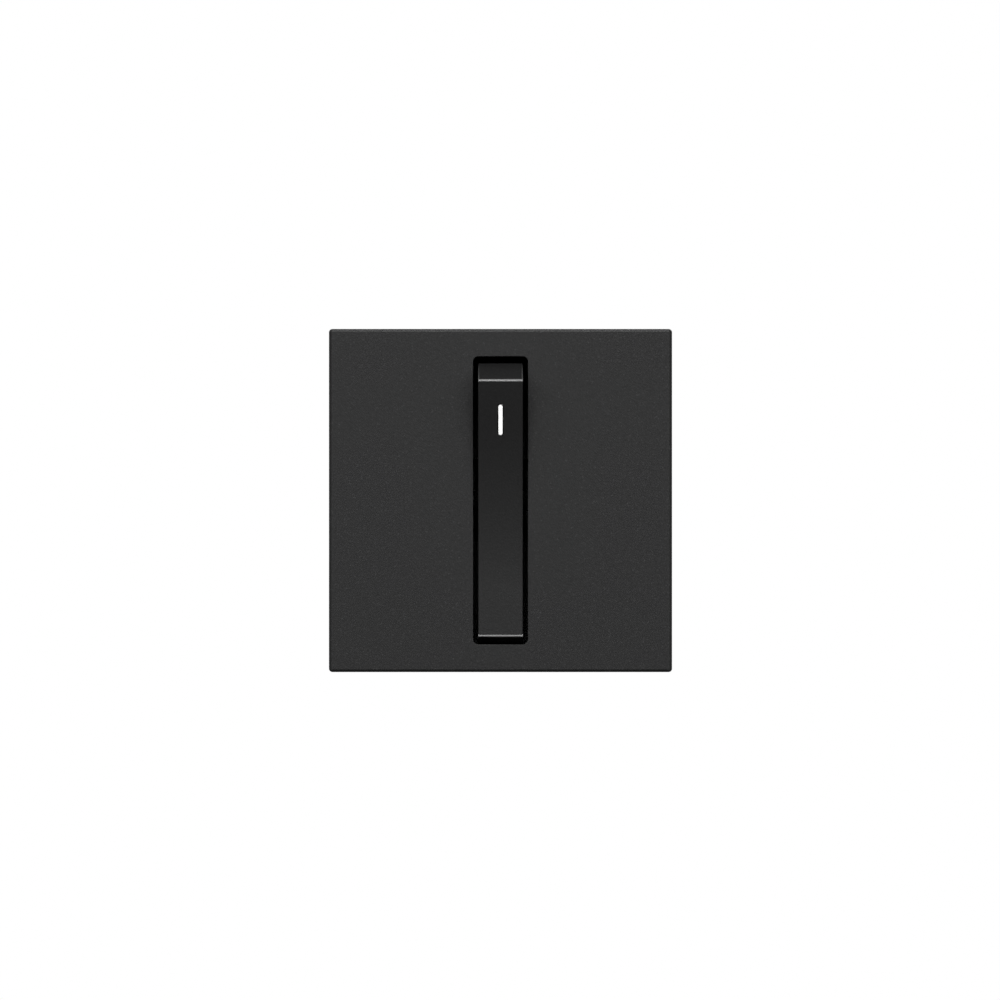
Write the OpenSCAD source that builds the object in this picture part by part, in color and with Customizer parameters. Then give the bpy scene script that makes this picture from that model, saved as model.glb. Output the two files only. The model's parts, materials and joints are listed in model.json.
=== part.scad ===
// Rocker wall switch in the 45 mm modular format, one gang, two way.
// Millimetres. +X to the right, +Z up, +Y into the wall.
// The origin is the centre of the plane where the fascia's rear rim meets the mounting frame.
// The rocker is drawn with its upper half standing proud and its lower half pressed in.

/* [Fascia] */
// Width and height of the square fascia
fascia_size = 45; // [44.8:0.1:45.4]
// How far the fascia stands in front of the mounting frame
fascia_depth = 4; // [3.9:0.05:4.2]
// Thickness of the fascia's front wall
fascia_wall = 1.8; // [1.7:0.05:2]
// Thickness of the fascia's side skirt
skirt_wall = 1.4; // [1.3:0.05:1.45]
// Radius of the fascia's front edges and of its corners
edge_r = 0.4; // [0.3:0.05:0.6]
// Width of the slot for the rocker
slot_w = 7.2; // [7:0.05:7.3]
// Height of the slot for the rocker
slot_h = 37.8; // [37.7:0.05:38.2]
// Radius of the slot's corners
slot_r = 0.7; // [0.5:0.05:0.9]

/* [Rocker] */
// Width of the rocker
rocker_w = 5.85; // [5.7:0.05:5.9]
// Distance of each crest from the middle of the rocker
crest_v = 16.86; // [16.7:0.02:16.9]
// Height of the crests in front of the pivot
crest_o = 9.95; // [9.85:0.05:10.05]
// Slope of the rocker's face at its ends, and its tilt either side of level, in degrees
tilt = 6; // [5.5:0.5:6]
// Half height of the curved middle of the rocker's face
dish_v = 10.5; // [8:0.5:11]
// Radius of the crests
crest_r = 0.35; // [0.25:0.05:0.5]
// Radius of the trunnions that the rocker turns on
trunnion_r = 1.25; // [1.2:0.05:1.3]
// Depth of the rocker's pivot behind the mounting frame's front
pivot_y = 4.3; // [4.2:0.05:4.4]
// Width of the pale mark in the rocker's upper half
mark_w = 0.6; // [0.6:0.02:1]
// Length of the pale mark
mark_h = 4.1; // [3.5:0.02:5]

/* [Body] */
// Width and height of the carrier behind the fascia
carrier_size = 41.6; // [41.4:0.1:41.6]
// Depth of the carrier behind the mounting frame's front
carrier_back = 9; // [9:0.1:9.2]
// Width and height of the housing and of the rear cover
housing_size = 41; // [40.8:0.1:41.2]
// Depth of the housing's rear edge
housing_back = 31.8; // [31.6:0.1:32]
// Thickness of the rear cover
cover_t = 2.2; // [2:0.1:2.4]
// Thickness of the mounting frame that the hooks snap behind
frame_t = 2; // [1.8:0.1:2]
// Width of each snap hook
hook_w = 5; // [4:0.5:5]

/* [Terminals] */
// Height of the terminal screws above and below the middle
terminal_z = 8.6; // [8.6:0.05:8.7]
// Radius of a terminal screw's shank
screw_r = 1.75; // [1.7:0.01:1.75]
// Radius of the wire holes in the rear cover
wire_r = 1.4; // [1.2:0.1:1.4]
// Distance of each contact from the middle of the lever
contact_z = 9; // [8.5:0.1:9.2]

/* [Hidden] */
$fn = 64;
eps = 0.01;
fit = 0.05;                                  // clearance of a running or located fit
gap = 0.3;                                   // clearance between neighbouring mouldings

// Fascia and carrier
face_y = -fascia_depth;
carrier_y = face_y + fascia_wall;            // front of the carrier, against the fascia's wall
carrier_wall = 1.5;
carrier_plate = 2;                           // thickness of the carrier's front plate
well_w = slot_w + 0.25;                      // well that the rocker swings in
well_wall = 1.7;
floor_t = 1.5;                               // floor of the well
floor_y = carrier_back - floor_t;
hub_slot_v = 5.5;                            // half height of the floor's opening for the hub
peg_r = 1;
peg_at = 12;
peg_len = 2.5;
hook_x = 10;
hook_rise = 1.2;                             // how far a hook reaches past the carrier's wall
hook_len = 5;
notch_w = hook_w + 1.6;
notch_depth = 1;
slit = 0.8;                                  // slits that let a hook's tongue bend
boss_r = 2.9;
boss_at = 17.2;
rib_t = 1.2;
rib_z = 7;

// Rocker, in its own frame: o points out of the wall from the pivot, v along the rocker
end_r = sqrt(crest_o * crest_o + crest_v * crest_v);
well_v = end_r + gap;
arm_o = 3;                                   // rear edge of the rocker's arms
relief_o = 5.85;                             // the ends are set back behind here, by relief
relief = 0.5;
hub_v = 2.6;
hub_back = 6;
pocket_w = 3.2;
pocket_from = 5;
pocket_to = 14;
pocket_top = 7.2;
dish_o = crest_o - (crest_v - dish_v) * tan(tilt);
dish_r = dish_v / sin(tilt);
dish_centre = dish_o + dish_r * cos(tilt);
trunnion_len = 2.1;
mark_v = 11.57;
mark_depth = 2.4;
mark_fit = 0.015;
mark_groove = 0.1;                           // width of the groove round the mark

// Plunger, spring and lever
plunger_r = 1.2;
tip_at = 12;                                 // centre of the plunger's round tip behind the pivot
plunger_from = 2;
socket_top = 5;                              // how far the plunger's socket reaches out of the pivot
spring_r = 0.85;
wire_t = 0.18;                               // radius of the spring's wire
spring_turns = 6;
lever_y = pivot_y + 14.35;                   // the lever's own pivot
lever_face = 1;                              // lever's front face, in front of its pivot
lever_t = 0.8;
lever_w = 5;
lever_v = 10.5;
bead_r = 0.8;
head_r = 1.5;                                // contact rivets
head_t = 0.8;
dome_t = 0.35;
dome_base = head_r - 0.15;                   // radius of a fixed contact's dome where it meets its disc
contact_gap = 0.03;
head_face = head_t - (lever_face - lever_t); // moving contact's face, behind the lever's pivot
dome_r = (dome_base * dome_base + dome_t * dome_t) / (2 * dome_t);
dome_y = lever_y + (head_face + contact_gap + dome_r + contact_z * sin(tilt)) / cos(tilt);
disc_t = 0.5;
pad_y = dome_y - dome_r + dome_t + disc_t;   // front of the traveller terminals' pads

// Terminals
brass_t = 0.8;
plate_t = 1;                                 // side plates that the screws' heads press on
plate_out = 18.8;
plate_half = 4.8;
plate_back = 31;
strap_half = 2;
cradle_half = 1.9;
cradle_front = lever_y + 0.3;
common_y = lever_y + 1.85;                   // front of the common strap
limb_x = 7;
screw_y = 26.4;
screw_len = 6.1;
screw_head_r = 3.3;
screw_head_t = 1.6;
clamp_t = 1.6;
clamp_open = 3;                              // space for a wire when the clamp is backed off
clamp_from = 22.6;
clamp_to = 30.6;
wire_dz = 3.2;
wire_x = plate_out - plate_t - clamp_open / 2;
funnel = 0.5;                                // flared mouth of each wire hole

// Housing
housing_wall = 1.6;
web_t = 1.4;
web_open_x = 3.3;
web_open_z = 4.2;
wall_x = 11.2;                               // inner walls beside the mechanism
wall_t = 1.2;
keeper_half = 1.2;
window_half = 4.4;
window_from = 22.4;
window_to = 30.4;
groove_w = 1;
groove_t = 0.4;
cover_back = housing_back + cover_t;
asm_r = 1.25;                                // assembly screws
asm_head_r = 2.5;
asm_head_t = 1.4;
asm_front = 3;
pillar_half = 1.5;
gauge_w = 12;
gauge_h = 3;
bumper_r = 1.5;
bumper_z = 16.6;

// ---- Colours ----
graphite = "#37373a";
black_plastic = "#222224";
dark_grey = "#2c2d30";
off_white = "#f2f2ee";
brass = "#b8963e";
silver = "#c8c8cc";
steel = "#9a9ca0";
green = "#2f7d46";
rubber = "#1a1a1a";

// ---- Helpers ----
module slab(w, h, y0, y1) translate([-w / 2, y0, -h / 2]) cube([w, y1 - y0, h]);
module block(x, y, z) translate([x[0], y[0], z[0]]) cube([x[1] - x[0], y[1] - y[0], z[1] - z[0]]);
module along_x(x0, x1) translate([x0, 0, 0]) rotate([90, 0, 90]) linear_extrude(x1 - x0) children();
module rod_y(r, x, z, y0, y1) translate([x, y1, z]) rotate([90, 0, 0]) cylinder(r = r, h = y1 - y0);
module cone_y(r0, r1, x, z, y0, y1)
    translate([x, y0, z]) rotate([-90, 0, 0]) cylinder(r1 = r0, r2 = r1, h = y1 - y0);
module rod_x(r, y, z, x0, x1) translate([x0, y, z]) rotate([0, 90, 0]) cylinder(r = r, h = x1 - x0);
module each_corner(at) for (sx = [-1, 1], sz = [-1, 1]) translate([sx * at, 0, sz * at]) children();
module four_ways() for (a = [0, 90, 180, 270]) rotate([0, a, 0]) children();

// Cuts a round edge of radius r along Y, at the corner x = z = half of a square.
module corner_cut(half, r, y0, y1) difference() {
    block([half - r, half + 1], [y0 - 1, y1 + 1], [half - r, half + 1]);
    rod_y(r, half - r, half - r, y0 - 2, y1 + 2);
}

// Cuts a round edge of radius r along X, where the top meets a front face at y.
module front_cut(half, r, y) difference() {
    block([-half - 1, half + 1], [y - 1, y + r], [half - r, half + 1]);
    rod_x(r, y + r, half - r, -half - 2, half + 2);
}

module slot(w, h, r, y0, y1) {
    slab(w - 2 * r, h, y0, y1);
    slab(w, h - 2 * r, y0, y1);
    for (sx = [-1, 1], sz = [-1, 1]) rod_y(r, sx * (w / 2 - r), sz * (h / 2 - r), y0, y1);
}

// A cross-shaped driver recess cut from the face at y into +Y.
module driver_y(x, z, y, depth) for (a = [0, 90])
    translate([x, y, z]) rotate([0, a, 0]) block([-1.5, 1.5], [-depth, 1], [-0.3, 0.3]);

// ---- Fixed mouldings ----
module fascia() color(graphite) difference() {
    union() {
        difference() {
            slab(fascia_size, fascia_size, face_y, 0);
            slab(fascia_size - 2 * skirt_wall, fascia_size - 2 * skirt_wall, carrier_y, 1);
        }
        each_corner(peg_at) rod_y(peg_r, 0, 0, carrier_y - 0.5, carrier_y + peg_len);
    }
    slot(slot_w, slot_h, slot_r, face_y - 1, carrier_y + 1);
    four_ways() corner_cut(fascia_size / 2, edge_r, face_y, 0);
    four_ways() front_cut(fascia_size / 2, edge_r, face_y);
    for (sx = [-1, 1], sz = [-1, 1])
        translate([sx * hook_x, 0, sz * fascia_size / 2]) slab(notch_w, 4, -notch_depth, 1);
}

module snap_hook() {
    top = carrier_size / 2;
    hook_y = frame_t + fit;
    translate([hook_x, 0, 0]) along_x(-hook_w / 2, hook_w / 2) polygon([
        [hook_y, top - 0.5],
        [hook_y, top + hook_rise],
        [hook_y + 0.6, top + hook_rise],
        [hook_y + hook_len, top],
        [hook_y + hook_len, top - 0.5]
    ]);
}

module tongue_slits() for (side = [-1, 1])
    translate([hook_x + side * (hook_w / 2 + slit / 2 + 0.1), 0, 0])
        block([-slit / 2, slit / 2], [0.3, carrier_back + 1],
              [carrier_size / 2 - carrier_wall - 1, carrier_size / 2 + 1]);

module carrier() color(dark_grey) difference() {
    union() {
        difference() {
            slab(carrier_size, carrier_size, carrier_y, carrier_back);
            slab(carrier_size - 2 * carrier_wall, carrier_size - 2 * carrier_wall,
                 carrier_y + carrier_plate, carrier_back + 1);
        }
        slab(well_w + 2 * well_wall, carrier_size, carrier_y, carrier_back);
        each_corner(boss_at) rod_y(boss_r, 0, 0, carrier_y + eps, carrier_back);
        for (sz = [-1, 1])
            translate([0, 0, sz * rib_z]) slab(carrier_size - 1, rib_t, carrier_y + eps, carrier_back - 3);
        for (sx = [0, 1], sz = [0, 1]) mirror([sx, 0, 0]) mirror([0, 0, sz]) snap_hook();
    }
    slab(well_w, 2 * well_v, carrier_y - 1, floor_y);
    slab(well_w, 2 * hub_slot_v, carrier_y, carrier_back + 1);
    rod_x(trunnion_r + fit, pivot_y, 0, -well_w, well_w);
    slab(2 * well_w, 2 * (trunnion_r + fit), pivot_y, carrier_back + 1);
    each_corner(boss_at) rod_y(asm_r + fit, 0, 0, asm_front - 0.5, carrier_back + 1);
    each_corner(peg_at) rod_y(peg_r + fit, 0, 0, carrier_y - 1, carrier_y + carrier_plate + 1);
    for (sx = [0, 1], sz = [0, 1]) mirror([sx, 0, 0]) mirror([0, 0, sz]) tongue_slits();
    four_ways() corner_cut(carrier_size / 2, 0.8, carrier_y, carrier_back);
}

// Posts that close the trunnions' slots from behind.
module keeper_posts() for (sx = [-1, 1])
    translate([sx * (well_w / 2 + well_wall / 2), 0, 0])
        slab(well_wall - 2 * fit, 2 * keeper_half, pivot_y + trunnion_r + 2 * fit, carrier_back + eps);

module terminal_window(sx, sz) block_at(sx, [plate_out - 1, housing_size], [window_from, window_to],
    [sz * terminal_z - window_half, sz * terminal_z + window_half]);

// A block given for the right-hand side, mirrored to the left where sx is -1.
module block_at(sx, x, y, z) mirror([sx < 0 ? 1 : 0, 0, 0]) block(x, y, z);

module housing() color(black_plastic) difference() {
    inner = housing_size - 2 * housing_wall;
    union() {
        difference() {
            slab(housing_size, housing_size, carrier_back, housing_back);
            slab(inner, inner, carrier_back + web_t, housing_back + 1);
        }
        each_corner(boss_at) rod_y(boss_r, 0, 0, carrier_back + eps, housing_back);
        for (sx = [-1, 1]) block_at(sx, [wall_x, wall_x + wall_t], [carrier_back + eps, housing_back],
                                    [-inner / 2 - eps, inner / 2 + eps]);
        for (sx = [-1, 1]) block_at(sx, [wall_x + eps, inner / 2 + eps],
                                    [carrier_back + eps, housing_back], [-rib_t / 2, rib_t / 2]);
        keeper_posts();
    }
    slab(2 * web_open_x, 2 * web_open_z, carrier_back - 1, carrier_back + web_t + 1);
    each_corner(boss_at) rod_y(asm_r + 0.2, 0, 0, carrier_back - 1, housing_back + 1);
    for (sx = [-1, 1], sz = [-1, 1]) terminal_window(sx, sz);
    for (sz = [-1, 1]) block([-wall_x - wall_t - 1, -wall_x + 1], [pad_y, housing_back + 1],
                             [sz * terminal_z - strap_half - gap, sz * terminal_z + strap_half + gap]);
    block([wall_x - 1, wall_x + wall_t + 1], [common_y, housing_back + 1],
          [terminal_z - strap_half - gap, terminal_z + strap_half + gap]);
    for (sz = [-1, 1], x = [-8 : 4 : 8])
        translate([x, 0, sz * housing_size / 2]) slab(groove_w, 2 * groove_t, carrier_back + 3, housing_back - 3);
    four_ways() corner_cut(housing_size / 2, 1.2, carrier_back, housing_back);
}

module rear_cover() color(black_plastic) difference() {
    union() {
        slab(housing_size, housing_size, housing_back, cover_back);
        for (sz = [-1, 1]) translate([0, 0, sz * contact_z])
            slab(2 * pillar_half, 2 * pillar_half, pad_y + brass_t + fit, housing_back + eps);
        slab(2 * pillar_half, 2 * pillar_half, common_y + brass_t + fit, housing_back + eps);
    }
    for (sx = [-1, 1], sz = [-1, 1], dz = [-wire_dz, wire_dz]) {
        rod_y(wire_r, sx * wire_x, sz * terminal_z + dz, housing_back - 1, cover_back + 1);
        cone_y(wire_r, wire_r + funnel, sx * wire_x, sz * terminal_z + dz, cover_back - funnel, cover_back);
    }
    each_corner(boss_at) {
        rod_y(asm_r + 0.2, 0, 0, housing_back - 1, cover_back + 1);
        rod_y(asm_head_r + gap, 0, 0, cover_back - asm_head_t, cover_back + 1);
    }
    slab(gauge_w, gauge_h, cover_back - groove_t, cover_back + 1);
    for (sz = [-1, 1], x = [-3, 3])
        translate([x, 0, sz * 10]) slab(groove_w, 12, cover_back - groove_t, cover_back + 1);
    four_ways() corner_cut(housing_size / 2, 1.2, housing_back, cover_back);
}

module assembly_screws() color(steel) each_corner(boss_at) difference() {
    union() {
        rod_y(asm_r, 0, 0, asm_front, cover_back - asm_head_t + eps);
        rod_y(asm_head_r, 0, 0, cover_back - asm_head_t, cover_back - 0.1);
    }
    driver_y(0, 0, cover_back - 0.1, 0.9);
}

// A soft stop under one arm; the rocker's arm comes to rest just clear of it.
module bumper(sz) {
    ball_y = pivot_y + (bumper_r + contact_gap - arm_o + bumper_z * sin(tilt)) / cos(tilt);
    color(rubber) {
        translate([0, ball_y, sz * bumper_z]) sphere(r = bumper_r);
        rod_y(bumper_r, 0, sz * bumper_z, ball_y, floor_y);
    }
}
module bumper_upper() bumper(1);
module bumper_lower() bumper(-1);

// ---- Rocker ----
// Everything in here is drawn about the pivot with the rocker level, then tilted to its rest pose.
module rocker_frame() translate([0, pivot_y, 0]) rotate([tilt, 0, 0]) children();

// Centre of the round crest: crest_r inside the sloping face and inside the end face.
crest_k = crest_o * cos(tilt) - crest_v * sin(tilt) - crest_r;
crest_m = sqrt(pow(end_r - crest_r, 2) - crest_k * crest_k);
crest_c = [-(crest_k * cos(tilt) + crest_m * sin(tilt)), crest_m * cos(tilt) - crest_k * sin(tilt)];
face_dir = [-cos(tilt), -sin(tilt)];         // out of the sloping face
end_dir = crest_c / norm(crest_c);           // out of the end face

module crest_cut() difference() {
    polygon([
        crest_c,
        crest_c + crest_r * face_dir,
        crest_c + (crest_r + 1) * face_dir,
        crest_c + 2 * (face_dir + end_dir),
        crest_c + (crest_r + 1) * end_dir,
        crest_c + crest_r * end_dir
    ]);
    translate(crest_c) circle(crest_r);
}

// Side view of the rocker with y to the wall and z up: a fan with a dished front and a hub.
module rocker_profile() difference() {
    intersection() {
        circle(end_r);
        polygon([
            [-crest_o - 2 * tan(tilt), crest_v + 2],
            [-dish_o, dish_v],
            [-dish_o, -dish_v],
            [-crest_o - 2 * tan(tilt), -crest_v - 2],
            [-arm_o, -crest_v - 4],
            [-arm_o, -hub_v - 2],
            [hub_back, -hub_v],
            [hub_back, hub_v],
            [-arm_o, hub_v + 2],
            [-arm_o, crest_v + 4]
        ]);
    }
    translate([-dish_centre, 0]) circle(dish_r);
    difference() {
        translate([-relief_o, -well_v]) square([relief_o + hub_back, 2 * well_v]);
        circle(end_r - relief);
    }
    crest_cut();
    mirror([0, 1]) crest_cut();
}

// The mark's round-ended outline grown by some clearance, square to the rocker's upper sloping face.
module mark_shape(grow, y0, y1) {
    o = crest_o - (crest_v - mark_v) * tan(tilt);
    w = mark_w + 2 * grow;
    translate([0, -o, mark_v]) rotate([tilt, 0, 0]) {
        slab(w, mark_h - mark_w, y0, y1);
        for (sz = [-1, 1]) rod_y(w / 2, 0, sz * (mark_h - mark_w) / 2, y0, y1);
    }
}

module rocker() color(black_plastic) rocker_frame() difference() {
    union() {
        along_x(-rocker_w / 2, rocker_w / 2) rocker_profile();
        rod_x(trunnion_r, 0, 0, -rocker_w / 2 - trunnion_len, rocker_w / 2 + trunnion_len);
    }
    rod_y(plunger_r + 0.1, 0, 0, -socket_top, hub_back + 1);
    for (sz = [0, 1]) mirror([0, 0, sz])
        block([-pocket_w / 2, pocket_w / 2], [-pocket_top, 0], [pocket_from, pocket_to]);
    mark_shape(mark_fit, -0.5, mark_depth);
    mark_shape(mark_groove, -0.5, 3 * mark_groove);
}

module indicator_insert() color(off_white) rocker_frame() mark_shape(0, 0, mark_depth - mark_fit);

// ---- Mechanism ----
module plunger() color(off_white) rocker_frame() {
    rod_y(plunger_r, 0, 0, plunger_from, tip_at);
    translate([0, tip_at, 0]) sphere(r = plunger_r);
}

// Points on the spring's wire: a ring of sides round each step of the helix.
ring_sides = 6;
steps = spring_turns * 14;
spring_len = plunger_from + socket_top - 2 * wire_t - 2 * fit;
function ring(i) = let (a = 360 * spring_turns * i / steps)
    [for (k = [0 : ring_sides - 1]) let (b = 360 * k / ring_sides, r = spring_r + wire_t * cos(b))
        [r * cos(a), r * sin(a), spring_len * i / steps + wire_t * sin(b)]];
function side_faces() = [for (i = [0 : steps - 1], k = [0 : ring_sides - 1])
    let (a = i * ring_sides, n = (k + 1) % ring_sides)
        [a + k, a + n, a + ring_sides + n, a + ring_sides + k]];

module plunger_spring() color(silver) rocker_frame()
    translate([0, wire_t + fit - socket_top, 0]) rotate([-90, 0, 0]) polyhedron(
        points = [for (i = [0 : steps]) each ring(i)],
        faces = concat(side_faces(), [[for (k = [ring_sides - 1 : -1 : 0]) k]],
                       [[for (k = [0 : ring_sides - 1]) steps * ring_sides + k]])
    );

// The lever rocks the other way to the rocker; at rest its upper contact is closed.
module lever_frame() translate([0, lever_y, 0]) rotate([-tilt, 0, 0]) children();

module contact_lever() color(brass) lever_frame() difference() {
    union() {
        slab(lever_w, 2 * lever_v, -lever_face, lever_t - lever_face);
        rod_x(bead_r, 0, 0, -lever_w / 2, lever_w / 2);
    }
    for (sz = [-1, 1]) rod_y(head_r / 2 + 0.02, 0, sz * contact_z, -lever_face - 1, 1);
}

module moving_contact(sz) color(silver) lever_frame() {
    rod_y(head_r, 0, sz * contact_z, lever_t - lever_face + 0.01, head_face);
    rod_y(head_r / 2, 0, sz * contact_z, -lever_face - 0.25, lever_t - lever_face + 0.1);
}
module moving_contact_upper() moving_contact(1);
module moving_contact_lower() moving_contact(-1);

module fixed_contact(sz) color(silver) {
    rod_y(head_r, 0, sz * contact_z, pad_y - disc_t, pad_y - 0.01);
    intersection() {
        translate([0, dome_y, sz * contact_z]) sphere(r = dome_r);
        rod_y(head_r + 0.5, 0, sz * contact_z, pad_y - disc_t - dome_t - 0.2, pad_y - disc_t + eps);
    }
}
module fixed_contact_upper() fixed_contact(1);
module fixed_contact_lower() fixed_contact(-1);

// ---- Terminals ----
// Side plate that a terminal screw's head presses on, with its clearance hole.
module side_plate(sx, sz, y0) difference() {
    block_at(sx, [plate_out - plate_t, plate_out], [y0, plate_back],
             [sz * terminal_z - plate_half, sz * terminal_z + plate_half]);
    rod_x(screw_r + 0.15, screw_y, sz * terminal_z, -housing_size, housing_size);
}

module traveller_terminal(sz) color(brass) {
    block([-plate_out + eps, strap_half], [pad_y, pad_y + brass_t],
          [sz * terminal_z - strap_half, sz * terminal_z + strap_half]);
    side_plate(-1, sz, pad_y);
}
module traveller_terminal_upper() traveller_terminal(1);
module traveller_terminal_lower() traveller_terminal(-1);

module common_terminal() color(brass) {
    back = common_y + brass_t;
    difference() {
        block([-lever_w / 2, lever_w / 2], [cradle_front, back], [-cradle_half, cradle_half]);
        rod_x(bead_r + fit, lever_y, 0, -lever_w, lever_w);
    }
    block([0, limb_x + 2 * strap_half], [common_y, back], [-cradle_half, cradle_half]);
    block([limb_x, limb_x + 2 * strap_half], [common_y, back], [-cradle_half, terminal_z + strap_half]);
    block([limb_x, plate_out - eps], [common_y, back], [terminal_z - strap_half, terminal_z + strap_half]);
    side_plate(1, 1, common_y);
}

module ground_terminal() color(brass) {
    block([wall_x + wall_t + gap, plate_out - eps], [pad_y, pad_y + brass_t],
          [-terminal_z - strap_half, -terminal_z + strap_half]);
    side_plate(1, -1, pad_y);
}

// Pressure plate inside a terminal, backed off to its open place, with two grooves for the wires.
module clamp_plate(sx, sz) {
    out = plate_out - plate_t - clamp_open;
    color(steel) difference() {
        block_at(sx, [out - clamp_t, out], [clamp_from, clamp_to],
                 [sz * terminal_z - plate_half + 0.1, sz * terminal_z + plate_half - 0.1]);
        rod_x(screw_r + fit, screw_y, sz * terminal_z, -housing_size, housing_size);
        for (dz = [-wire_dz, wire_dz])
            rod_y(wire_r, sx * (out + wire_r - 0.35), sz * terminal_z + dz, clamp_from - 1, clamp_to + 1);
    }
}
module clamp_traveller_upper() clamp_plate(-1, 1);
module clamp_traveller_lower() clamp_plate(-1, -1);
module clamp_common() clamp_plate(1, 1);
module clamp_ground() clamp_plate(1, -1);

// Terminal screw: shank, pan head and a slotted cross recess in the head's outer face.
module terminal_screw(sx, sz) mirror([sx < 0 ? 1 : 0, 0, 0])
    translate([plate_out + fit, screw_y, sz * terminal_z]) difference() {
        union() {
            rod_x(screw_r, 0, 0, -screw_len, eps);
            rod_x(screw_head_r, 0, 0, 0, screw_head_t - 0.4);
            translate([screw_head_t - 0.4, 0, 0]) rotate([0, 90, 0])
                cylinder(r1 = screw_head_r, r2 = screw_head_r - 0.4, h = 0.4);
        }
        block([screw_head_t - 0.9, screw_head_t + 1], [-screw_head_r, screw_head_r], [-0.4, 0.4]);
        block([screw_head_t - 1.2, screw_head_t + 1], [-0.45, 0.45], [-1.7, 1.7]);
        block([screw_head_t - 1.2, screw_head_t + 1], [-1.7, 1.7], [-0.45, 0.45]);
    }
module screw_traveller_upper() color(brass) terminal_screw(-1, 1);
module screw_traveller_lower() color(brass) terminal_screw(-1, -1);
module screw_common() color(dark_grey) terminal_screw(1, 1);
module screw_ground() color(green) terminal_screw(1, -1);

fascia();
carrier();
housing();
rear_cover();
assembly_screws();
bumper_upper();
bumper_lower();
traveller_terminal_upper();
traveller_terminal_lower();
common_terminal();
ground_terminal();
fixed_contact_upper();
fixed_contact_lower();
rocker();
indicator_insert();
plunger();
plunger_spring();
contact_lever();
moving_contact_upper();
moving_contact_lower();
clamp_traveller_upper();
clamp_traveller_lower();
clamp_common();
clamp_ground();
screw_traveller_upper();
screw_traveller_lower();
screw_common();
screw_ground();
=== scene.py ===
"""The looks of the rocker wall switch: finished meshes, materials, light and camera on its CAD frame."""

import json
import math

import bmesh
import bpy
from mathutils import Matrix, Vector

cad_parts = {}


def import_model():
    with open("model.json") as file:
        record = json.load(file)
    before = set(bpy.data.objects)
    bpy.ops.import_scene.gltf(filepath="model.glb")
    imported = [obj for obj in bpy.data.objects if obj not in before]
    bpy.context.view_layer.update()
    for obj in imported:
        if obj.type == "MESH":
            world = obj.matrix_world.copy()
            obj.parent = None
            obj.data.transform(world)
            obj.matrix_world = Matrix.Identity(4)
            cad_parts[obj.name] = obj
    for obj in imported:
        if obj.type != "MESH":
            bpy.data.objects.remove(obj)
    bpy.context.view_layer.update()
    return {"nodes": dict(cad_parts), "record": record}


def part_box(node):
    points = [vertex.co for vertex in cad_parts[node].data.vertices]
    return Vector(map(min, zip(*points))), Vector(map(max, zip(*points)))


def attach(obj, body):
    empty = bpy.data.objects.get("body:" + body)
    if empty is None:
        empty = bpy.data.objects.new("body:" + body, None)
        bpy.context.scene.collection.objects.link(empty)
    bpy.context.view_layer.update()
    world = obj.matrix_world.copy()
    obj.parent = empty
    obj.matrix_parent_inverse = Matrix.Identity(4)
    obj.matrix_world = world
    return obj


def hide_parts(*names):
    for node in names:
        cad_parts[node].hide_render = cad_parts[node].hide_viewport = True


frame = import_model()
cad = frame["nodes"]

MM = 0.001

# ---------------------------------------------------------------- sizes: the CAD source's, and finer rounds

FASCIA_HALF = 22.5 * MM                  # half of the fascia's width
CORNER_R = 0.45 * MM                     # the fascia's corners, seen from the front
EDGE_R = 0.4 * MM                        # round of the fascia's front edges
FASCIA_WALL = 1.8 * MM
SKIRT_WALL = 1.4 * MM
SLOT_W, SLOT_H, SLOT_R = 7.2 * MM, 37.8 * MM, 0.7 * MM
SLOT_EDGE_R = 0.05 * MM                  # round of the slot's front edge
SIDE_RIM = 0.42 * MM                     # width of the dry paint along the fascia's two side edges
NOTCH_W, NOTCH_X, NOTCH_DEPTH = 6.6 * MM, 10 * MM, 1 * MM
NOTCH_REACH = 2 * MM                     # how far a notch reaches in from the fascia's edge

PIVOT = Vector((0, 4.3 * MM, 0))
TILT = math.radians(6)                   # the rocker's tilt at rest, and the slope of its face at its ends
ROCKER_W = 5.85 * MM
CREST_OUT, CREST_ALONG = 9.95 * MM, 16.86 * MM
CREST_R = 0.35 * MM
SIDE_R = 0.16 * MM                       # round of the rocker's long edges
END_R = math.hypot(CREST_OUT, CREST_ALONG)
DISH_ALONG = 10.5 * MM
DISH_OUT = CREST_OUT - (CREST_ALONG - DISH_ALONG) * math.tan(TILT)
DISH_R = DISH_ALONG / math.sin(TILT)
ARM_OUT = 3 * MM
RELIEF_OUT, RELIEF = 5.85 * MM, 0.5 * MM  # step in the rocker's ends, behind the strip that shows
HUB_BACK, HUB_HALF = 6 * MM, 2.6 * MM
HUB_FLARE = 2 * MM                       # how much the hub widens, each way, up to the arms
TRUNNION_R, TRUNNION_END = 1.25 * MM, ROCKER_W / 2 + 2.1 * MM
TRUNNION_CHAMFER = 0.1 * MM
SOCKET_R, SOCKET_TOP = 1.3 * MM, 5 * MM
POCKET_W, POCKET_TOP = 3.2 * MM, 7.2 * MM
POCKET_FROM, POCKET_TO = 5 * MM, 14 * MM

MARK_W, MARK_H, MARK_ALONG = 0.6 * MM, 4.1 * MM, 11.57 * MM
MARK_DEPTH = 2.4 * MM
MARK_EDGE_R = 0.1 * MM                   # round of the mark's front edge
MARK_FIT = 0.015 * MM
MARK_GROOVE, MARK_GROOVE_DEPTH = 0.1 * MM, 0.3 * MM

OVERCUT = 1 * MM                         # how far a cutter reaches out of what it cuts
CORNER_STEPS = 8                         # facets round each corner of a rounded rectangle
ROD_SIDES = 64
SMOOTH_BELOW = math.radians(35)          # faces that meet at less than this are shaded as one surface


def on_rocker():
    """From the rocker's own frame, level and about its pivot, to its rest pose."""
    return Matrix.Translation(PIVOT) @ Matrix.Rotation(TILT, 4, "X")


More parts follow.
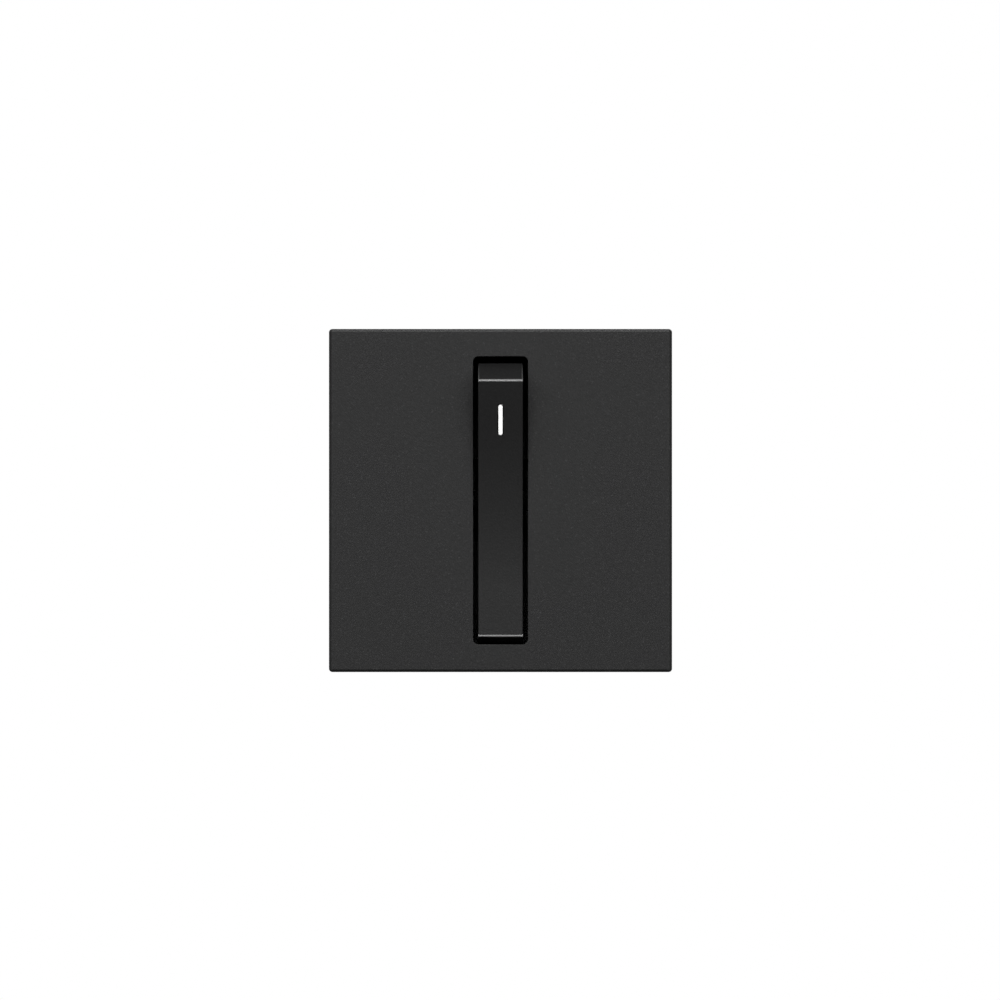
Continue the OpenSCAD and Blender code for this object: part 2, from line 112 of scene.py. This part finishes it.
def crest_centre():
    """Centre (out, along) of the upper crest's round, CREST_R inside the sloping face and the end face."""
    k = CREST_OUT * math.cos(TILT) - CREST_ALONG * math.sin(TILT) - CREST_R
    m = math.sqrt((END_R - CREST_R) ** 2 - k * k)
    return k * math.cos(TILT) + m * math.sin(TILT), m * math.cos(TILT) - k * math.sin(TILT)


CREST_CENTRES = [on_rocker() @ Vector((0, -crest_centre()[0], side * crest_centre()[1]))
                 for side in (1, -1)]
CREST_HIGHLIGHT_ANGLES = (math.radians(30), math.radians(-36))   # where round each crest a highlight is painted pale
CREST_HIGHLIGHT_IN = 0.15 * MM                      # how deep under the painted highlight its middle line lies
CREST_HIGHLIGHT_REACH = 0.18 * MM                   # how far from that line the highlight is painted
CREST_HIGHLIGHT_LINES = [centre + (CREST_R - CREST_HIGHLIGHT_IN) * Vector((0, -math.cos(a), math.sin(a)))
              for centre, a in zip(CREST_CENTRES, CREST_HIGHLIGHT_ANGLES)]
SIDE_HIGHLIGHT_FROM = CREST_CENTRES[0].z + CREST_R        # painted highlights on the upper end face's side edges start here
SIDE_HIGHLIGHT_H = 1.9 * MM                  # up to this far above, ever less
SIDE_HIGHLIGHT_W = 0.17 * MM                 # and this far in from each side


def on_mark():
    """From the mark's own frame, with its face in the XZ plane, to the rocker's frame."""
    out = CREST_OUT - (CREST_ALONG - MARK_ALONG) * math.tan(TILT)
    return Matrix.Translation((0, -out, MARK_ALONG)) @ Matrix.Rotation(TILT, 4, "X")


# ---------------------------------------------------------------- mesh helpers


def piece_from(bm, name):
    """A new object from bm, shaded smooth where faces meet at less than SMOOTH_BELOW."""
    bmesh.ops.remove_doubles(bm, verts=bm.verts, dist=1e-7)
    bmesh.ops.recalc_face_normals(bm, faces=bm.faces)
    mesh = bpy.data.meshes.new(name)
    bm.to_mesh(mesh)
    bm.free()
    piece = bpy.data.objects.new(name, mesh)
    bpy.context.scene.collection.objects.link(piece)
    finish_shading(piece)
    return piece


def finish_shading(piece):
    piece.data.shade_smooth()
    piece.data.set_sharp_from_angle(angle=SMOOTH_BELOW)


def flat_shading_on_big_faces(piece):
    """Keeps wide flat faces flat beside their rounded edges."""
    weighted = piece.modifiers.new("weighted_normals", "WEIGHTED_NORMAL")
    weighted.keep_sharp = True
    weighted.weight = 90


def skin(bm, loops, closed=False):
    """Joins loops of equal length with quads, round each loop; closed joins the last to the first."""
    rings = [[bm.verts.new(p) for p in loop] for loop in loops]
    pairs = list(zip(rings, rings[1:]))
    if closed:
        pairs.append((rings[-1], rings[0]))
    for a, b in pairs:
        for i in range(len(a)):
            j = (i + 1) % len(a)
            bm.faces.new((a[i], a[j], b[j], b[i]))
    return rings


def solid_from(loops, name):
    """A closed piece: a skin over the loops, with a face across each end."""
    bm = bmesh.new()
    rings = skin(bm, loops)
    bm.faces.new(rings[0])
    bm.faces.new(rings[-1])
    return piece_from(bm, name)


def rounded_loop(width, height, radius, y):
    """Points round a rounded rectangle at depth y, as many for any size."""
    points = []
    for quarter, (sx, sz) in enumerate(((1, 1), (-1, 1), (-1, -1), (1, -1))):
        centre = Vector((sx * (width / 2 - radius), y, sz * (height / 2 - radius)))
        for step in range(CORNER_STEPS + 1):
            a = math.radians(90 * (quarter + step / CORNER_STEPS))
            points.append(centre + Vector((radius * math.cos(a), 0, radius * math.sin(a))))
    return points


def round_over(steps):
    """(inset, rise) shares of a radius from the side of an edge to its top, round a quarter circle."""
    angles = [math.pi / 2 * i / steps for i in range(steps + 1)]
    return [(1 - math.cos(a), math.sin(a)) for a in angles]


def block(name, low, high):
    bm = bmesh.new()
    size = Vector(high) - Vector(low)
    centre = (Vector(high) + Vector(low)) / 2
    place = Matrix.Translation(centre) @ Matrix.Diagonal((*size, 1))
    bmesh.ops.create_cube(bm, size=1, matrix=place)
    return piece_from(bm, name)


def rod(name, radius, start, end, chamfer=0.0):
    """A round rod from start to end, with its ends chamfered where chamfer is given."""
    start, end = Vector(start), Vector(end)
    direction = (end - start).normalized()
    turn = direction.to_track_quat("Z", "X").to_matrix()
    length = (end - start).length
    stations = [(0, radius), (length, radius)]
    if chamfer:
        neck = radius - chamfer
        stations = [(0, neck), (chamfer, radius), (length - chamfer, radius), (length, neck)]
    angles = [2 * math.pi * i / ROD_SIDES for i in range(ROD_SIDES)]
    loops = [[start + turn @ Vector((r * math.cos(a), r * math.sin(a), along)) for a in angles]
             for along, r in stations]
    return solid_from(loops, name)


def carve(piece, cutter, operation="DIFFERENCE"):
    """Cuts cutter out of piece, or joins it on, and leaves one clean mesh."""
    modifier = piece.modifiers.new("carve", "BOOLEAN")
    modifier.operation = operation
    modifier.solver = "EXACT"
    modifier.object = cutter
    bpy.context.view_layer.update()
    graph = bpy.context.evaluated_depsgraph_get()
    carved = bpy.data.meshes.new_from_object(piece.evaluated_get(graph))
    piece.modifiers.remove(modifier)
    piece.data = carved
    bpy.data.objects.remove(cutter)
    finish_shading(piece)
    return piece


# ---------------------------------------------------------------- shader helpers


class Shader:
    """A node material being built: one shader fed by procedural textures in the object's own metres."""

    def __init__(self, name, colour, roughness, metallic=0.0):
        self.material = bpy.data.materials.new(name)
        self.material.use_nodes = True
        self.material.diffuse_color = (*colour, 1)
        self.tree = self.material.node_tree
        self.principled = self.tree.nodes["Principled BSDF"]
        self.principled.inputs["Base Color"].default_value = (*colour, 1)
        self.principled.inputs["Roughness"].default_value = roughness
        self.principled.inputs["Metallic"].default_value = metallic
        self.place = self.tree.nodes.new("ShaderNodeTexCoord").outputs["Object"]
        self.normal = None

    def node(self, kind, **inputs):
        made = self.tree.nodes.new(kind)
        for key, value in inputs.items():
            self.feed(made.inputs[key.replace("_", " ")], value)
        return made

    def feed(self, socket, value):
        if isinstance(value, bpy.types.NodeSocket):
            self.tree.links.new(value, socket)
        else:
            socket.default_value = value

    def stretched(self, x, y, z):
        """The place, scaled by different amounts along each axis, for brushed or drawn surfaces."""
        made = self.tree.nodes.new("ShaderNodeMapping")
        self.feed(made.inputs["Vector"], self.place)
        made.inputs["Scale"].default_value = (x, y, z)
        return made.outputs["Vector"]

    def noise(self, feature_mm, detail=2.0, roughness=0.5, place=None):
        """Noise whose bumps are about feature_mm across, from 0 to 1."""
        made = self.node("ShaderNodeTexNoise", Vector=place or self.place,
                         Scale=1 / (feature_mm * MM), Detail=detail, Roughness=roughness)
        return made.outputs["Fac"]

    def specks(self, spacing_mm, share):
        """1 on a sparse share of cells about spacing_mm across, 0 elsewhere."""
        cells = self.node("ShaderNodeTexVoronoi", Vector=self.place, Scale=1 / (spacing_mm * MM))
        pick = self.node("ShaderNodeSeparateColor", Color=cells.outputs["Color"]).outputs["Red"]
        return self.ramp(pick, 1 - share, 1 - share / 2)

    def ramp(self, value, low, high, out_low=0.0, out_high=1.0):
        made = self.node("ShaderNodeMapRange", Value=value)
        limits = {"From Min": low, "From Max": high, "To Min": out_low, "To Max": out_high}
        for socket, number in limits.items():
            made.inputs[socket].default_value = number
        return made.outputs["Result"]

    def maths(self, operation, a, b):
        made = self.tree.nodes.new("ShaderNodeMath")
        made.operation = operation
        self.feed(made.inputs[0], a)
        self.feed(made.inputs[1], b)
        return made.outputs["Value"]

    def blend(self, share, a, b):
        """The number a where share is 0, and b where it is 1."""
        made = self.tree.nodes.new("ShaderNodeMix")
        for index, value in ((0, share), (2, a), (3, b)):
            self.feed(made.inputs[index], value)
        return made.outputs[0]

    def near_line(self, point, reach):
        """1 within reach of the line along X through point, falling to 0 just beyond."""
        flat = self.tree.nodes.new("ShaderNodeVectorMath")
        flat.operation = "MULTIPLY"
        self.feed(flat.inputs[0], self.place)
        flat.inputs[1].default_value = (0, 1, 1)
        away = self.tree.nodes.new("ShaderNodeVectorMath")
        away.operation = "DISTANCE"
        self.feed(away.inputs[0], flat.outputs["Vector"])
        away.inputs[1].default_value = (0, point.y, point.z)
        return self.ramp(away.outputs["Value"], reach + 0.025 * MM, reach + 0.005 * MM)

    def sideways(self):
        """Distance from the middle plane of the switch, left or right."""
        return self.maths("ABSOLUTE", self.node("ShaderNodeSeparateXYZ", Vector=self.place).outputs["X"], 0.0)

    def up(self):
        """Height above the middle of the switch."""
        return self.node("ShaderNodeSeparateXYZ", Vector=self.place).outputs["Z"]

    def mix(self, share, colour_a, colour_b):
        made = self.tree.nodes.new("ShaderNodeMix")
        made.data_type = "RGBA"
        for index, value in ((0, share), (6, colour_a), (7, colour_b)):
            if isinstance(value, tuple):
                value = (*value, 1)
            self.feed(made.inputs[index], value)
        return made.outputs[2]

    def edges(self, radius_mm):
        """0 on flat ground, rising to 1 on outside and inside edges, for wear and rubbed corners."""
        rounded = self.node("ShaderNodeBevel", Radius=radius_mm * MM)
        rounded.samples = 4
        flat = self.tree.nodes.new("ShaderNodeNewGeometry").outputs["Normal"]
        dot = self.tree.nodes.new("ShaderNodeVectorMath")
        dot.operation = "DOT_PRODUCT"
        self.feed(dot.inputs[0], rounded.outputs["Normal"])
        self.feed(dot.inputs[1], flat)
        return self.ramp(dot.outputs["Value"], 0.995, 0.85)

    def soft_edges(self, radius_mm):
        """Bends the light round sharp moulded edges, under any bump added later."""
        made = self.node("ShaderNodeBevel", Radius=radius_mm * MM)
        made.samples = 4
        self.normal = made.outputs["Normal"]

    def bump(self, height, depth_um):
        """Relief depth_um deep where height goes from 0 to 1."""
        made = self.node("ShaderNodeBump", Height=height, Strength=1.0, Distance=depth_um * 1e-6)
        if self.normal is not None:
            self.feed(made.inputs["Normal"], self.normal)
        self.normal = made.outputs["Normal"]

    def done(self, colour, roughness):
        """Feeds the shader, and gives the finished material."""
        self.feed(self.principled.inputs["Base Color"], colour)
        self.feed(self.principled.inputs["Roughness"], roughness)
        if self.normal is not None:
            self.feed(self.principled.inputs["Normal"], self.normal)
        return self.material


# ---------------------------------------------------------------- materials


def fascia_material():
    """Matt graphite paint with a fine mottled grain, drier along its two side edges."""
    s = Shader("graphite_paint", (0.005, 0.005, 0.0053), 0.55)
    grain = s.noise(0.27, detail=3, roughness=0.6)
    cloud = s.noise(0.5, detail=3)
    tone = s.mix(s.ramp(cloud, 0.3, 0.7), (0.0032, 0.0032, 0.0034), (0.0068, 0.0068, 0.007))
    tone = s.mix(s.maths("MULTIPLY", s.specks(0.15, 0.03), 0.35), tone, (0.04, 0.04, 0.041))
    s.bump(grain, 16.0)
    rough = s.maths("ADD", s.ramp(grain, 0.3, 0.7, 0.585, 0.52), s.ramp(cloud, 0.3, 0.7, 0.008, -0.008))
    rim = s.ramp(s.sideways(), FASCIA_HALF - SIDE_RIM, FASCIA_HALF - SIDE_RIM + 0.12 * MM)
    return s.done(tone, s.blend(rim, rough, 0.95))


def rocker_material():
    """Satin black plastic with a fine grain, with highlights painted as pale lines on its crests and beside
    them.

    The trunnions are painted dull black as painted shade, only so that they don't show in the gaps beside the
    rocker.
    """
    s = Shader("satin_black_plastic", (0.002, 0.002, 0.0021), 0.55)
    grain = s.noise(0.27, detail=3, roughness=0.6)
    cloud = s.noise(0.6, detail=3)
    half = ROCKER_W / 2
    # painted highlights: pale lines on both crests and along the side edges of the upper end face
    upper, lower = (s.near_line(line, CREST_HIGHLIGHT_REACH) for line in CREST_HIGHLIGHT_LINES)
    at_sides = s.ramp(s.sideways(), half - SIDE_HIGHLIGHT_W, half - SIDE_HIGHLIGHT_W + 0.07 * MM)
    fading_up = s.ramp(s.up(), SIDE_HIGHLIGHT_FROM + SIDE_HIGHLIGHT_H, SIDE_HIGHLIGHT_FROM)
    over_crest = s.ramp(s.up(), SIDE_HIGHLIGHT_FROM - 0.15 * MM, SIDE_HIGHLIGHT_FROM)
    beside = s.maths("MULTIPLY", s.maths("MULTIPLY", at_sides, fading_up), over_crest)
    # painted shade: the trunnions are near black so they stay as dark as the gaps they cross
    trunnions = s.ramp(s.sideways(), half + 0.005 * MM, half + 0.03 * MM)
    tone = s.mix(s.ramp(cloud, 0.3, 0.7), (0.0026, 0.0026, 0.0027), (0.0044, 0.0044, 0.0045))
    tone = s.mix(upper, tone, (0.15, 0.15, 0.15))
    tone = s.mix(lower, tone, (0.42, 0.42, 0.42))
    tone = s.mix(beside, tone, (0.06, 0.06, 0.06))
    tone = s.mix(trunnions, tone, (0.001, 0.001, 0.001))
    s.bump(grain, 19.0)
    rough = s.maths("ADD", s.ramp(grain, 0.3, 0.7, 0.575, 0.51), s.ramp(cloud, 0.3, 0.7, 0.01, -0.01))
    rough = s.blend(s.maths("MAXIMUM", upper, lower), rough, 0.34)
    return s.done(tone, s.blend(trunnions, rough, 0.95))


def moulding_material():
    """Dull black glass-filled plastic: spark-eroded grain, faint flow marks, paler rubbed edges."""
    s = Shader("black_moulding", (0.018, 0.018, 0.019), 0.55)
    s.soft_edges(0.12)
    grain = s.noise(0.09, detail=2)
    flow = s.noise(5, detail=4, roughness=0.6, place=s.stretched(1, 0.25, 1))
    tone = s.mix(s.ramp(flow, 0.35, 0.7), (0.017, 0.017, 0.018), (0.0215, 0.0215, 0.0225))
    tone = s.mix(s.maths("MULTIPLY", s.edges(0.25), 0.5), tone, (0.06, 0.06, 0.062))
    s.bump(grain, 4.0)
    return s.done(tone, s.ramp(flow, 0.3, 0.7, 0.53, 0.59))


def mark_material():
    """Smooth opal plastic, white, with a little painted glow at its face that brightens it.

    Its sides are painted black as painted shade, only so that the groove round it stays dark.
    """
    s = Shader("opal_white", (0.9, 0.9, 0.89), 0.35)
    drift = s.noise(0.8, detail=2)
    tone = s.mix(drift, (0.88, 0.88, 0.87), (0.93, 0.93, 0.92))
    place = on_rocker() @ on_mark()
    inwards = place.to_3x3() @ Vector((0, 1, 0))
    behind = s.tree.nodes.new("ShaderNodeVectorMath")
    behind.operation = "DOT_PRODUCT"
    s.feed(behind.inputs[0], s.place)
    behind.inputs[1].default_value = inwards
    face_at = inwards.dot(place.translation)
    face = s.ramp(behind.outputs["Value"], face_at + 0.04 * MM, face_at + 0.03 * MM)
    s.bump(s.noise(0.1), 0.5)
    # painted glow: the face gives off a little light, though it is no lamp
    s.feed(s.principled.inputs["Emission Color"], s.mix(face, (0.0, 0.0, 0.0), (0.2, 0.2, 0.2)))
    s.principled.inputs["Emission Strength"].default_value = 1.0
    # painted shade: below its face the mark is near black, so the groove round it stays dark
    return s.done(s.mix(face, (0.01, 0.01, 0.01), tone), s.ramp(drift, 0.3, 0.7, 0.3, 0.4))


def acetal_material():
    """Natural white plastic, smooth, with a faint drift in tone."""
    s = Shader("natural_acetal", (0.75, 0.74, 0.7), 0.35)
    drift = s.noise(2, detail=3)
    s.bump(s.noise(0.1), 1.0)
    return s.done(s.mix(drift, (0.7, 0.69, 0.65), (0.8, 0.79, 0.75)), s.ramp(drift, 0.3, 0.7, 0.3, 0.42))


def rubber_material():
    """Soft black rubber with a dusty, uneven skin."""
    s = Shader("soft_rubber", (0.012, 0.012, 0.012), 0.8)
    grain = s.noise(0.15, detail=3)
    s.bump(grain, 8.0)
    return s.done(s.mix(grain, (0.009, 0.009, 0.009), (0.02, 0.02, 0.02)), s.ramp(grain, 0.3, 0.7, 0.75, 0.9))


def metal_material(name, colour, dulled, roughness, drawn=(1, 1, 1), wear=None, dark_inside=False):
    """Plated or stamped metal: drawn lines, patches dulled by handling, and bright or worn-through edges.

    With dark_inside it is painted black near the middle of the switch as painted shade, only so that no
    brass shows through the gaps beside the rocker.
    """
    s = Shader(name, colour, roughness, metallic=1.0)
    s.soft_edges(0.1)
    lines = s.noise(0.12, detail=2, place=s.stretched(*drawn))
    patches = s.noise(2.2, detail=4, roughness=0.65)
    tone = s.mix(s.ramp(patches, 0.42, 0.68), colour, dulled)
    tone = s.mix(s.ramp(lines, 0.35, 0.75, 0, 0.25), tone, dulled)
    bright = wear or tuple(min(1.0, 1.25 * c) for c in colour)
    tone = s.mix(s.maths("MULTIPLY", s.edges(0.2), 0.7), tone, bright)
    if dark_inside:
        # painted shade: the brass near the middle plane is painted near black
        tone = s.mix(s.ramp(s.sideways(), DARK_WITHIN, BARE_BEYOND), (0.006, 0.005, 0.004), tone)
    s.bump(lines, 2.0)
    rough = s.maths("ADD", s.ramp(patches, 0.3, 0.7, -0.05, 0.1),
                    s.ramp(lines, 0.3, 0.7, roughness, roughness + 0.1))
    return s.done(tone, rough)


def floor_material():
    """Pale matt card."""
    s = Shader("pale_floor", (0.82, 0.82, 0.81), 0.8)
    drift = s.noise(120, detail=2)
    return s.done(s.mix(drift, (0.8, 0.8, 0.79), (0.84, 0.84, 0.83)), s.ramp(drift, 0.3, 0.7, 0.75, 0.85))


DARK_WITHIN, BARE_BEYOND = 6 * MM, 9 * MM      # distances from the middle plane, for dark_inside's painted shade
BRASS = (0.60, 0.42, 0.17)
ZINC = (0.55, 0.56, 0.58)

by_slot = {
    "fascia_finish": fascia_material(),
    "rocker_plastic": rocker_material(),
    "body_moulding": moulding_material(),
    "mark_white": mark_material(),
    "white_plastic": acetal_material(),
    "soft_rubber": rubber_material(),
    "terminal_brass": metal_material("stamped_brass", BRASS, (0.40, 0.27, 0.11), 0.28,
                                     drawn=(1, 1, 0.08), dark_inside=True),
    "screw_brass": metal_material("plated_brass", (0.64, 0.47, 0.20), (0.45, 0.32, 0.13), 0.22),
    "screw_black": metal_material("black_oxide", (0.035, 0.035, 0.037), (0.02, 0.02, 0.02), 0.42,
                                  wear=(0.25, 0.25, 0.26)),
    "screw_green": metal_material("green_dyed_zinc", (0.03, 0.24, 0.09), (0.02, 0.14, 0.06), 0.34,
                                  wear=(0.35, 0.42, 0.36)),
    "contact_silver": metal_material("contact_silver", (0.78, 0.78, 0.77), (0.55, 0.55, 0.54), 0.18),
    "zinc_steel": metal_material("bright_zinc", ZINC, (0.38, 0.39, 0.41), 0.3),
}
slot_of = {entry["node"]: entry["material_slot"] for entry in frame["record"]["subparts"]}


def dress(piece, slot):
    """Gives the piece one slot's material all over."""
    piece.data.materials.clear()
    piece.data.materials.append(by_slot[slot])


def stand_for(piece, node, body):
    """The piece takes the place of one CAD node, with its finish, and moves with its body."""
    dress(piece, slot_of[node])
    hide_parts(node)
    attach(piece, body)


# ---------------------------------------------------------------- fascia


def fascia_face():
    """One closed skin: outside, rounded front edge, face, slot, back of the face and inside of the skirt."""
    low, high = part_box("fascia")
    width, height = high.x - low.x, high.z - low.z
    front, rim = low.y, 0.0
    back_of_wall = front + FASCIA_WALL
    loops = [rounded_loop(width, height, CORNER_R, rim)]
    for inset, rise in round_over(8):
        d = inset * EDGE_R
        y = front + EDGE_R * (1 - rise)
        loops.append(rounded_loop(width - 2 * d, height - 2 * d, CORNER_R - d, y))
    for inset, rise in reversed(round_over(4)):
        d = inset * SLOT_EDGE_R
        y = front + SLOT_EDGE_R * (1 - rise)
        loops.append(rounded_loop(SLOT_W + 2 * d, SLOT_H + 2 * d, SLOT_R + d, y))
    loops.append(rounded_loop(SLOT_W, SLOT_H, SLOT_R, back_of_wall))
    inner_w, inner_h = width - 2 * SKIRT_WALL, height - 2 * SKIRT_WALL
    loops.append(rounded_loop(inner_w, inner_h, CORNER_R, back_of_wall))
    loops.append(rounded_loop(inner_w, inner_h, CORNER_R, rim))
    bm = bmesh.new()
    skin(bm, loops, closed=True)
    face = piece_from(bm, "fascia_face")
    for sx in (-1, 1):
        for sz in (-1, 1):
            notch_low = (sx * NOTCH_X - NOTCH_W / 2, -NOTCH_DEPTH, sz * height / 2 - NOTCH_REACH)
            notch_high = (sx * NOTCH_X + NOTCH_W / 2, OVERCUT, sz * height / 2 + NOTCH_REACH)
            carve(face, block("notch", notch_low, notch_high))
    flat_shading_on_big_faces(face)
    stand_for(face, "fascia", "base")


# ---------------------------------------------------------------- rocker


def arc(centre, radius, start, end, steps):
    """Points (out, along) on an arc; angles are measured from out towards along."""
    angles = [start + (end - start) * i / steps for i in range(steps + 1)]
    return [(centre[0] + radius * math.cos(a), centre[1] + radius * math.sin(a)) for a in angles]


def rocker_outline(inset):
    """Points (out, along) round the rocker's side view, every face moved inwards by inset."""
    end_r = END_R - inset
    crest = crest_centre()
    crest_angle = math.atan2(crest[1], crest[0])
    rear_angle = math.acos((ARM_OUT + inset) / (end_r - RELIEF))
    step_angle = math.acos((RELIEF_OUT + inset) / end_r)
    step_foot = (RELIEF_OUT + inset, math.sqrt((end_r - RELIEF) ** 2 - (RELIEF_OUT + inset) ** 2))
    dish_centre = (DISH_OUT + DISH_R * math.cos(TILT), 0)
    half = [(-HUB_BACK + inset, HUB_HALF - inset), (ARM_OUT + inset, HUB_HALF + HUB_FLARE - inset)]
    half += arc((0, 0), end_r - RELIEF, rear_angle, math.atan2(step_foot[1], step_foot[0]), 6)
    half += arc((0, 0), end_r, step_angle, crest_angle, 12)
    half += arc(crest, CREST_R - inset, crest_angle, -TILT, 10)
    half += arc(dish_centre, DISH_R + inset, math.pi - TILT, math.pi, 20)
    return half + [(out, -along) for out, along in reversed(half[:-1])]


def rocker_sections():
    """(x, inset) from one side of the rocker to the other, round both long edges."""
    right = [(ROCKER_W / 2 - SIDE_R * (1 - rise), inset * SIDE_R) for inset, rise in round_over(6)]
    return [(-x, inset) for x, inset in reversed(right)] + right


def mark_block(name, grow, top, depth, round_r=0.0):
    """The mark's outline grown by some clearance, from top in front of the face to depth behind it."""
    w, h, r = MARK_W + 2 * grow, MARK_H + 2 * grow, MARK_W / 2 + grow
    edge = round_over(6) if round_r else [(0, 1)]
    loops = [rounded_loop(w, h, r, depth)]
    for inset, rise in edge:
        d = inset * round_r
        loops.append(rounded_loop(w - 2 * d, h - 2 * d, r - d, -top + round_r * (1 - rise)))
    return solid_from([[on_mark() @ p for p in loop] for loop in loops], name)


def rocker_body():
    """The rocker with its trunnions, the plunger's socket, a pocket in each arm and the mark's recess."""
    loops = [[Vector((x, -out, along)) for out, along in rocker_outline(inset)]
             for x, inset in rocker_sections()]
    body = solid_from(loops, "rocker_body")
    ends = (-TRUNNION_END, 0, 0), (TRUNNION_END, 0, 0)
    carve(body, rod("trunnions", TRUNNION_R, *ends, TRUNNION_CHAMFER), "UNION")
    carve(body, rod("socket", SOCKET_R, (0, -SOCKET_TOP, 0), (0, HUB_BACK + OVERCUT, 0)))
    for sz in (-1, 1):
        near, far = sorted((sz * POCKET_FROM, sz * POCKET_TO))
        carve(body, block("pocket", (-POCKET_W / 2, -POCKET_TOP, near), (POCKET_W / 2, 0, far)))
    carve(body, mark_block("mark_recess", MARK_FIT, OVERCUT / 2, MARK_DEPTH))
    carve(body, mark_block("mark_groove", MARK_GROOVE, OVERCUT / 2, MARK_GROOVE_DEPTH))
    body.data.transform(on_rocker())
    flat_shading_on_big_faces(body)
    stand_for(body, "rocker", "rocker")


def mark_insert():
    mark = mark_block("mark_insert", 0.0, 0.0, MARK_DEPTH - MARK_FIT, round_r=MARK_EDGE_R)
    mark.data.transform(on_rocker())
    flat_shading_on_big_faces(mark)
    stand_for(mark, "indicator_insert", "rocker")


# ---------------------------------------------------------------- CAD nodes that stay


def dress_cad_nodes():
    """Every node gets its finish; the ones that a new piece replaces aren't seen."""
    for name, node in cad.items():
        dress(node, slot_of[name])


# ---------------------------------------------------------------- floor, light, camera

FLOOR_Z, FLOOR_HALF = -0.1, 0.45
CAMERA_DISTANCE = 1.2
FRAME_WIDTH = 131.12 * MM               # what the picture spans, at the face of the fascia
CAMERA_X, CAMERA_Z = -0.066 * MM, 0.066 * MM   # the switch stands a hair off the middle of the view


def floor():
    """A pale floor that throws neither light nor reflections onto the switch."""
    bm = bmesh.new()
    bmesh.ops.create_grid(bm, x_segments=8, y_segments=8, size=FLOOR_HALF)
    plane = piece_from(bm, "floor")
    plane.location = (0, 0, FLOOR_Z)
    plane.data.materials.append(floor_material())
    plane.visible_glossy = plane.visible_diffuse = False


def softbox(name, azimuth, elevation, distance, width, height, power):
    """An area light aimed at the switch, azimuth degrees to the right of the camera."""
    data = bpy.data.lights.new(name, "AREA")
    data.shape = "RECTANGLE"
    data.size, data.size_y = width, height
    data.energy = power
    light = bpy.data.objects.new(name, data)
    bpy.context.scene.collection.objects.link(light)
    a, e = math.radians(azimuth), math.radians(elevation)
    light.location = distance * Vector((math.cos(e) * math.sin(a), -math.cos(e) * math.cos(a), math.sin(e)))
    light.rotation_euler = (-light.location).to_track_quat("-Z", "Y").to_euler()


def lights():
    """Azimuth and elevation in degrees, distance, width and height in metres, power in watts."""
    softbox("overhead", 0, 44, 1.8, 1.56, 0.55, 27)
    softbox("front_left", -46, 24, 1.8, 1.44, 0.55, 16)
    softbox("front_right", 46, 24, 1.8, 1.44, 0.55, 16)
    softbox("low_strip", 0, -75, 0.5, 0.35, 0.2, 0.25)
    softbox("behind_left", 215, 25, 0.8, 0.5, 0.5, 6)
    softbox("behind_right", 145, 35, 0.8, 0.5, 0.5, 9)


def world():
    """White where the camera sees it, and nearly dark for everything else."""
    made = bpy.data.worlds.new("studio")
    made.use_nodes = True
    tree = made.node_tree
    background = tree.nodes["Background"]
    seen = tree.nodes.new("ShaderNodeLightPath").outputs["Is Camera Ray"]
    mixed = tree.nodes.new("ShaderNodeMix")
    mixed.data_type = "RGBA"
    tree.links.new(seen, mixed.inputs[0])
    mixed.inputs[6].default_value = (0.02, 0.02, 0.02, 1)
    mixed.inputs[7].default_value = (1, 1, 1, 1)
    tree.links.new(mixed.outputs[2], background.inputs["Color"])
    bpy.context.scene.world = made


def camera():
    """Square on to the fascia, far enough away for little perspective."""
    data = bpy.data.cameras.new("camera")
    data.sensor_width = 36
    data.lens = 36 * CAMERA_DISTANCE / FRAME_WIDTH
    data.clip_start, data.clip_end = 0.01, 10
    made = bpy.data.objects.new("camera", data)
    bpy.context.scene.collection.objects.link(made)
    made.location = (CAMERA_X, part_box("fascia")[0].y - CAMERA_DISTANCE, CAMERA_Z)
    made.rotation_euler = (math.radians(90), 0, 0)
    bpy.context.scene.camera = made


camera()
dress_cad_nodes()
fascia_face()
rocker_body()
mark_insert()
floor()
lights()
world()
bpy.context.scene.view_settings.view_transform = "Standard"
